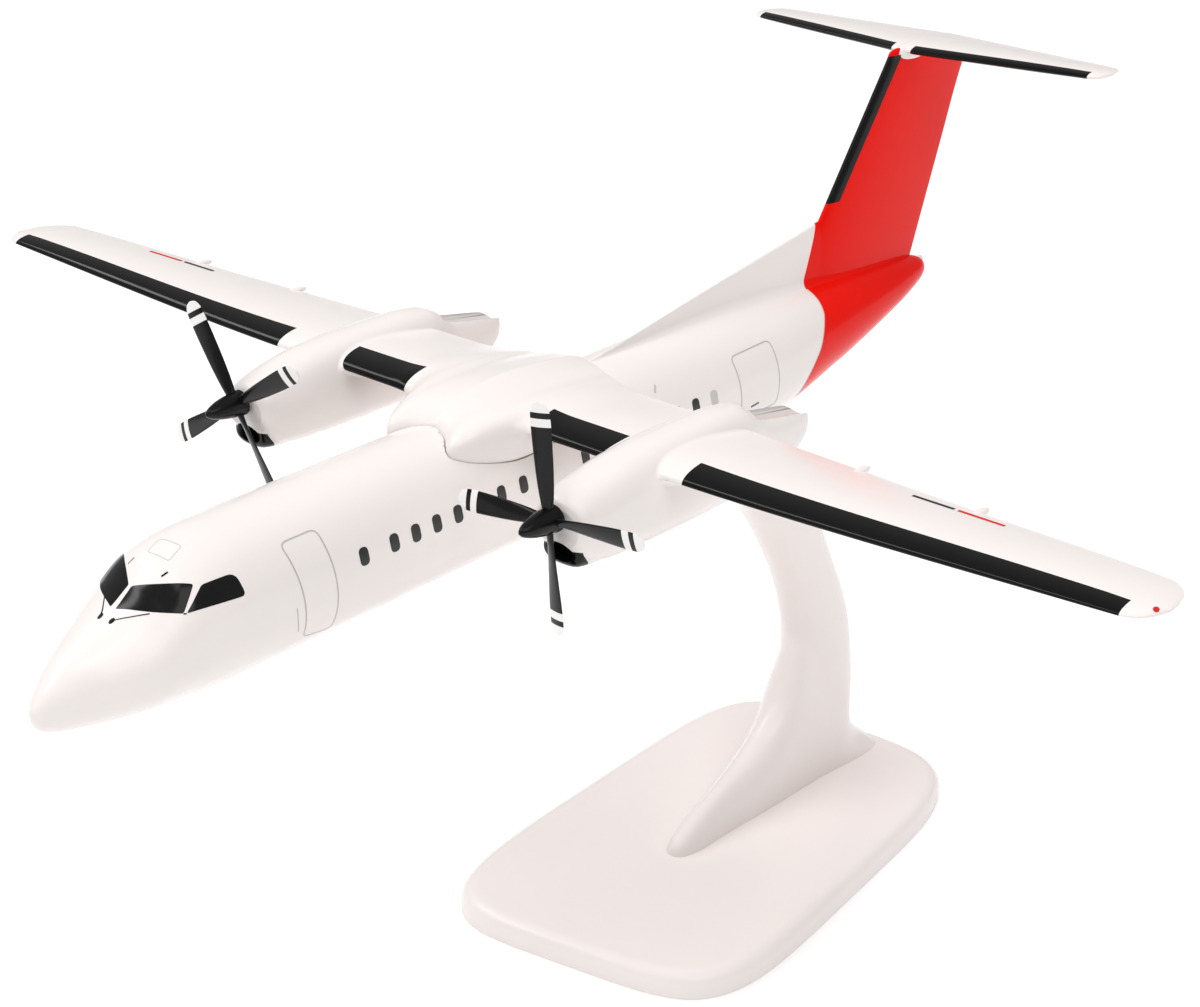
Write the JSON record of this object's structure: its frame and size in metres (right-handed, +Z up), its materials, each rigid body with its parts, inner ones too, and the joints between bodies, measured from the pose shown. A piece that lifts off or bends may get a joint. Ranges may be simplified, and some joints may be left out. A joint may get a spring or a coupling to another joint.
{
  "type": "turboprop airliner desk model on a display stand",
  "caption": "Snap-together 1:100 desk model of a high-wing, T-tail turboprop airliner on a curved stand; both propellers turn freely.",
  "frame": {"origin": "centre of the underside of the stand's base, on the surface that it stands on", "axes": "+Z up; -Y the way the nose points; +X towards the port wing tip. The base itself is turned a few degrees about Z, as in the picture"},
  "size_m": [0.2744, 0.2568, 0.1699],
  "materials": {
    "white_plastic": "gloss warm-white moulded plastic with printed livery",
    "red_plastic": "gloss red printed plastic",
    "black_plastic": "gloss black plastic with printed white tip bands",
    "stand_plastic": "gloss warm-white moulded plastic",
    "steel_pin": "plain drawn pin"
  },
  "bodies": {
    "root": {"fuselage": "white_plastic", "wing": "white_plastic", "nacelle_port": "white_plastic", "nacelle_starboard": "white_plastic", "axle_port": "steel_pin", "axle_starboard": "steel_pin", "fin": "red_plastic", "tailplane": "white_plastic", "stand_arm": "stand_plastic", "stand_base": "stand_plastic"},
    "port_propeller": {"propeller_port": "black_plastic"},
    "starboard_propeller": {"propeller_starboard": "black_plastic"}
  },
  "joints": [
    {"name": "port_propeller_spin", "type": "hinge", "parent": "root", "child": "port_propeller", "pos_m": [0.03874, -0.0967, 0.125], "axis": [0, 1, 0], "continuous": true},
    {"name": "starboard_propeller_spin", "type": "hinge", "parent": "root", "child": "starboard_propeller", "pos_m": [-0.03874, -0.0967, 0.125], "axis": [0, 1, 0], "continuous": true}
  ]
}
